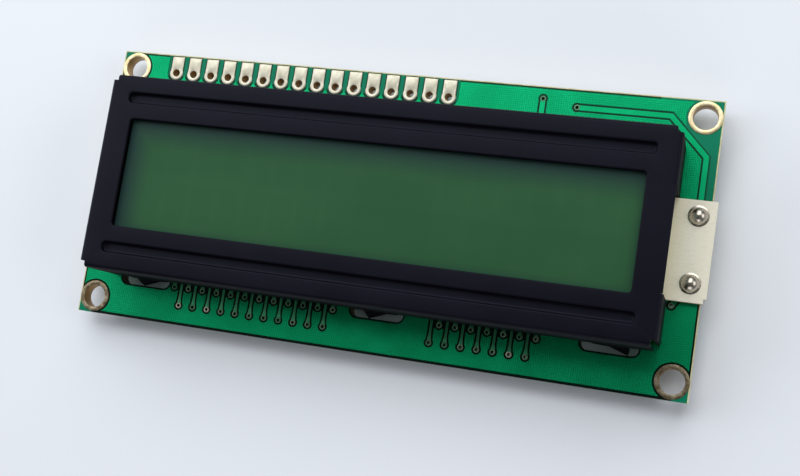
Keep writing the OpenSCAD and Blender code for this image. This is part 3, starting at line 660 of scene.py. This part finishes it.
def rings(node, piece_name, slot, hole_mm, sides, tin_values):
    """Replaces a node with rings of its own size on its own centres."""
    places = centres(node)
    shape = merged(node)
    one = islands(shape)[0]
    centre = middle(one)
    reach = max((v.co - centre).to_2d().length for face in one for v in face.verts)
    shape.free()
    run_tree(ring_tree, ring_keys, points_mesh(node + "_points", places, tin_values), {
        "Outer radius": reach, "Hole radius": hole_mm * MM / 2,
        "Plate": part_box(node)[1].z, "Board": -board_low.z, "Sides": sides,
        "Finish": finishes[slot].material}, piece_name, slot, node)
    print("  rings:", len(places), "outer diameter in mm:", round(2 * reach / MM, 2))


VIA_HOLE = 0.4
PIN_HOLE = 0.9
rings("mounting_hole_rims", "mounting_rings", "plated_rim",
      2 * pattern["hole_r_mm"], 64, [0.0] * 4)

# Three vias of the far row took a full coat of tin; the others carry a little, unevenly.
vias = centres("via_lands")
far_y = min(via.y for via in vias)
far = [via for via in vias if abs(via.y - far_y) < 0.1 * MM]
tinned = (far[0], far[2], far[-2])
thin_tin = [0.05 + 0.05 * (7 * i % 5) for i in range(len(vias))]
tins = [0.85 if via in tinned else thin for via, thin in zip(vias, thin_tin)]
rings("via_lands", "via_rings", "tinned_copper", VIA_HOLE, 20, tins)
rings("pin_lands", "pin_rings", "tinned_copper", PIN_HOLE, 32, [1.0, 1.0])

# %% [markdown]
# ## Black bezel
# Sheet steel, blanked, pressed with two beads, folded down and painted satin black. The
# paint breaks up the light a little; its edges are rounded in the shading alone, since the
# fold is only as wide as the sheet is thick.

# %% Bezel finish
steel = Finish("black_steel", Specular_IOR_Level=0.12, Specular_Tint=(0.72, 0.72, 1.0, 1))
here = steel.place()
smudge = steel.noise(here, 0.12, 4.0, 0.6)
peel = steel.noise(here, 2.6, 3.0, 0.55)
satin = steel.blend(steel.steps(smudge, 0.3, 0.7), paint(9, 8, 15), paint(13, 12, 21))
# Painted shade: walls are painted darker and less blue than the plate, as the folded walls lie
# in shade.
edge = 1 - level(steel)
satin = steel.blend(edge * 0.6, satin, paint(10, 8, 10))
steel.set(Base_Color=satin, Roughness=0.36 + 0.14 * smudge + 0.2 * edge)
relief = steel.node("ShaderNodeBump", {}, {
    "Height": peel, "Distance": 0.012 * MM, "Strength": 0.5,
    "Normal": soften(steel, 0.12)})
steel.set(Normal=relief)
finishes["black_steel"] = steel

# %% [markdown]
# Where the tongue leaves, the wall is cut away and the plate's edge runs on almost to the
# wall's face, with a short relief cut at each end. The bezel is copied and that edge is
# drawn out. Level and upright faces stay flat, and only the rounded ones are smoothed.

# %% Pressed bezel
TONGUE_Y = -0.4
GAP_HALF = 6.2
SHEET_T = 0.4
FOLD_OUT = 0.5
EDGE_OUT = 0.42
RELIEF = 0.08
FLAT = 0.9999
bezel_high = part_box("bezel")[1]


def on_gap_edge(face):
    """Faces of the plate's edge over the tongue."""
    at = face.calc_center_median() / MM
    top = bezel_high / MM
    return (face.normal.x > 0.9 and abs(at.x - top.x + FOLD_OUT) < 0.02
            and at.z > top.z - SHEET_T and abs(at.y - TONGUE_Y) < GAP_HALF)


shape = merged("bezel")
shape.normal_update()
edge = [f for f in shape.faces if on_gap_edge(f)]
reach = (GAP_HALF - RELIEF) * MM
drawn = bmesh.ops.extrude_face_region(shape, geom=edge)["geom"]
for vert in [g for g in drawn if isinstance(g, bmesh.types.BMVert)]:
    vert.co.x += EDGE_OUT * MM
    vert.co.y = min(max(vert.co.y, TONGUE_Y * MM - reach), TONGUE_Y * MM + reach)
bmesh.ops.delete(shape, geom=[f for f in edge if f.is_valid], context="FACES_ONLY")
loose = [e for e in shape.edges if not e.link_faces]
bmesh.ops.delete(shape, geom=loose, context="EDGES")
bmesh.ops.recalc_face_normals(shape, faces=shape.faces)
open_edges = sum(not e.is_manifold for e in shape.edges)
print("faces drawn out:", len(edge), "open edges:", open_edges)
pressed = bpy.data.meshes.new("pressed_bezel")
shape.to_mesh(pressed)
shape.free()

# The copied normals no longer fit the drawn faces and would shade the plate unevenly.
if "custom_normal" in pressed.attributes:
    pressed.attributes.remove(pressed.attributes["custom_normal"])
for polygon in pressed.polygons:
    polygon.use_smooth = max(abs(n) for n in polygon.normal) < FLAT
pressed.set_sharp_from_angle(angle=math.radians(35))
place_piece(pressed, "pressed_bezel", "black_steel", "bezel")

# %% [markdown]
# ## Display
# Polarizer film over two panes of glass with liquid crystal between them, lit from the
# room: the light goes through twice, so the field reads as a deep green. Near the left and
# upper edges it is painted bluer and greyer, as painted shade with a painted bluish reflection
# of the rim, and under the bezel's rim it is painted near black as painted shade. The cells
# of the characters show very faintly.

# %% Display finish
WINDOW_END = 3.5
WINDOW_BAND = 5.65
TAB_PAST_WALL = 0.8
CELL_PITCH = 3.55
film = Finish("polarizer_front", Specular_IOR_Level=0.05)
here = film.place()
x, y = film.axes(here)[:2]
window_x = bezel_high.x / MM - WINDOW_END
window_y = bezel_high.y / MM - TAB_PAST_WALL - WINDOW_BAND
inside = (window_x - abs(x)).math("MINIMUM", window_y - abs(y))
columns = film.steps(comb(x + CELL_PITCH / 2, CELL_PITCH), 0.6, 0.95)
rows = film.steps(abs(y), 0.35, 0.6)
cell = (1 - columns) * rows * film.steps(inside, 1.2, 2.0)
cloud = film.noise(film.stretched(here, (0.05, 0.09, 1.0)), 1.0, 2.0, 0.5)
green = film.blend(film.steps(cloud, 0.35, 0.65), paint(43, 83, 54), paint(48, 88, 57))
green = film.blend(cell * 0.2, green, paint(40, 80, 51))
# Painted shade and a painted bluish reflection: the field turns grey-blue towards the left and
# upper edges of the window.
from_light = (x + window_x).math("MINIMUM", window_y - y)
rim_shade_and_sheen = film.steps(from_light, 0.0, 4.0) * film.steps(inside, -1.2, 1.2)
field = film.blend(rim_shade_and_sheen, paint(36, 58, 54), green)
# Painted shade: outside the window the film under the bezel's rim is painted near black.
field = film.blend(film.steps(inside, -0.06, 0.04), paint(4, 5, 5), field)
film.set(Base_Color=field, Roughness=0.3)
film.bump(film.noise(here, 9.0, 2.0, 0.5), 0.004, 0.3)
finishes["polarizer_front"] = film
print("window half sizes in mm:", round(window_x, 2), round(window_y, 2))

# %% [markdown]
# ## Backlight
# A white reflector with lamps at one end under a diffuser. Its own small board, of cream paper
# laminate, comes out at the right as a tongue; two pins through it are soldered with big beads.

# %% Backlight finishes
tongue = Finish("cream_board", Roughness=0.5, Specular_IOR_Level=0.3)
here = tongue.place()
cloud = tongue.noise(here, 0.18, 4.0, 0.6)
fibre = tongue.noise(tongue.stretched(here, (1.0, 4.0, 1.0)), 1.2, 4.0, 0.65)
to_tip = tongue.steps(tongue.axes(here)[0], 35.0, 38.0)
paper = tongue.blend(to_tip, paint(240, 230, 196), paint(246, 240, 220))
paper = tongue.blend(tongue.steps(fibre, 0.45, 0.75) * 0.5, paper, paint(226, 220, 196))
paper = tongue.blend(tongue.steps(cloud, 0.6, 0.8) * 0.4, paper, paint(246, 242, 224))
burr = paint(186, 178, 146)
tongue.set(Base_Color=tongue.blend(level(tongue), burr, paper))
tongue.bump(fibre, 0.03, 0.4)
finishes["cream_board"] = tongue

solder = Finish("solder", Metallic=1.0)
here = solder.place()
skin = solder.noise(here, 1.6, 4.0, 0.6)
solder.set(Base_Color=solder.blend(skin, paint(172, 164, 150), paint(208, 200, 188)))
solder.set(Roughness=0.22 + 0.12 * skin)
solder.bump(skin, 0.03, 0.5)
finishes["solder"] = solder


def plain_finish(name, dark, light, scale, depth_mm, **constants):
    """A cloudy two-tone finish with a fine relief."""
    made = Finish(name, **constants)
    here = made.place()
    cloud = made.steps(made.noise(here, scale, 4.0, 0.6), 0.3, 0.7)
    made.set(Base_Color=made.blend(cloud, paint(*dark), paint(*light)))
    made.bump(made.noise(here, scale * 6, 3.0, 0.6), depth_mm, 0.5)
    finishes[name] = made


METAL = {"Metallic": 1.0, "Roughness": 0.3}
plain_finish("white_plastic", (226, 228, 224), (240, 241, 238), 0.4, 0.01, Roughness=0.4)
plain_finish("diffuser_plastic", (214, 222, 206), (230, 236, 222), 0.3, 0.01, Roughness=0.5)
plain_finish("lamp_resin", (214, 204, 120), (232, 222, 150), 1.2, 0.01, Roughness=0.25)
plain_finish("pin_metal", (176, 170, 158), (206, 202, 192), 1.0, 0.01, **METAL)
plain_finish("gold_finger", (204, 160, 74), (224, 184, 100), 1.4, 0.01, **METAL)
plain_finish("elastomer", (206, 150, 156), (220, 168, 172), 1.0, 0.02, Roughness=0.6)
plain_finish("cell_glass", (150, 176, 160), (166, 190, 174), 0.1, 0.002, Roughness=0.12)
plain_finish("cell_resin", (196, 186, 148), (212, 204, 170), 1.0, 0.01, Roughness=0.35)
plain_finish("crystal_fill", (60, 96, 66), (70, 108, 76), 0.2, 0.002, Roughness=0.3)
plain_finish("polarizer_rear", (84, 96, 80), (98, 110, 92), 0.2, 0.004, Roughness=0.35)
print("finishes so far:", len(finishes))

# %% [markdown]
# ## Parts on the back
# Two bare chips are bonded to the board and covered with black resin, which sets as a low
# matt dome with a slightly uneven skin. Small chip resistors and capacitors sit beside
# them; a resistor is glazed on its outer face and shows white alumina towards the sides.

# %% Back finishes
resin = Finish("black_epoxy", Specular_IOR_Level=0.4)
here = resin.place()
swell = resin.noise(here, 0.18, 3.0, 0.5)
pores = resin.steps(resin.noise(here, 2.2, 3.0, 0.6), 0.62, 0.7)
resin.set(Base_Color=resin.blend(swell, paint(20, 20, 21), paint(31, 31, 33)))
resin.set(Roughness=0.42 + 0.2 * swell)
resin.bump(swell * 3 - pores * 0.3, 0.12, 0.6)
finishes["black_epoxy"] = resin

ceramic = Finish("resistor_ceramic", Roughness=0.3)
here = ceramic.place()
glaze = ceramic.noise(here, 2.0, 3.0, 0.5)
glassy = ceramic.blend(glaze, paint(18, 18, 20), paint(30, 30, 33))
alumina = ceramic.blend(glaze, paint(212, 208, 198), paint(228, 225, 216))
ceramic.set(Base_Color=ceramic.blend(facing(ceramic) < -0.5, alumina, glassy))
ceramic.bump(glaze, 0.02, 0.4)
finishes["resistor_ceramic"] = ceramic
plain_finish("capacitor_ceramic", (176, 146, 106), (194, 166, 126), 1.6, 0.02, Roughness=0.45)
plain_finish("silicon", (70, 72, 80), (92, 94, 104), 0.8, 0.002,
             Roughness=0.15, Metallic=0.6)
print("finishes in all:", len(finishes))

# %% Assign the finishes
slots = {part["node"]: part["material_slot"] for part in record["subparts"]}
for name, solid in nodes.items():
    for place in range(len(solid.data.materials)):
        solid.data.materials[place] = finishes[slots[name]].material
print("nodes with a new finish:", len(nodes))

# %% [markdown]
# ## Table and light
# A plain pale table top. The window is beyond the module's upper edge: its broad light
# glances off the upper part of the board and leaves the lower part darker. Weak fills keep
# the shadows soft. Each lamp is aimed at the module.

# %% Table
TABLE_SIZE = 4000
floor_z = cad_box[0][2]
bpy.ops.mesh.primitive_plane_add(size=TABLE_SIZE * MM, location=(0, 0, floor_z))
table = bpy.context.object
table.name = "table_top"
white_top = Finish("white_table", Roughness=0.75, Specular_IOR_Level=0.1)
here = white_top.place()
haze = white_top.noise(here, 0.02, 2.0, 0.5)
white_top.set(Base_Color=white_top.blend(haze, paint(226, 230, 237), paint(232, 235, 240)))
table.data.materials.append(white_top.material)
print("table at z in mm:", round(floor_z / MM, 2))

# %% Lamps
def soft_lamp(name, place_mm, size_mm, watts, color):
    """A broad rectangle of light that looks at the origin."""
    data = bpy.data.lights.new(name, "AREA")
    data.shape = "RECTANGLE"
    data.size = size_mm[0] * MM
    data.size_y = size_mm[1] * MM
    data.energy = watts
    data.color = color
    lamp = bpy.data.objects.new(name, data)
    lamp.location = Vector(place_mm) * MM
    aim = Vector((0, 0, 0)) - Vector(place_mm)
    lamp.rotation_euler = aim.to_track_quat("-Z", "Y").to_euler()
    bpy.context.scene.collection.objects.link(lamp)


soft_lamp("window_light", (-70, 330, 420), (720, 500), 3.35, (0.97, 0.985, 1.0))
soft_lamp("left_fill", (-420, 60, 250), (300, 300), 0.8, (0.93, 0.96, 1.0))
soft_lamp("right_fill", (520, 60, 320), (400, 300), 0.85, (0.96, 0.97, 1.0))
soft_lamp("near_fill", (80, -560, 260), (400, 300), 0.7, (0.98, 0.98, 1.0))
ROOM_COLOR = (0.92, 0.96, 1.0, 1)
ROOM_STRENGTH = 0.095
world = bpy.data.worlds.new("room")
bpy.context.scene.world = world
world.use_nodes = True
background = world.node_tree.nodes["Background"]
background.inputs["Color"].default_value = ROOM_COLOR
background.inputs["Strength"].default_value = ROOM_STRENGTH
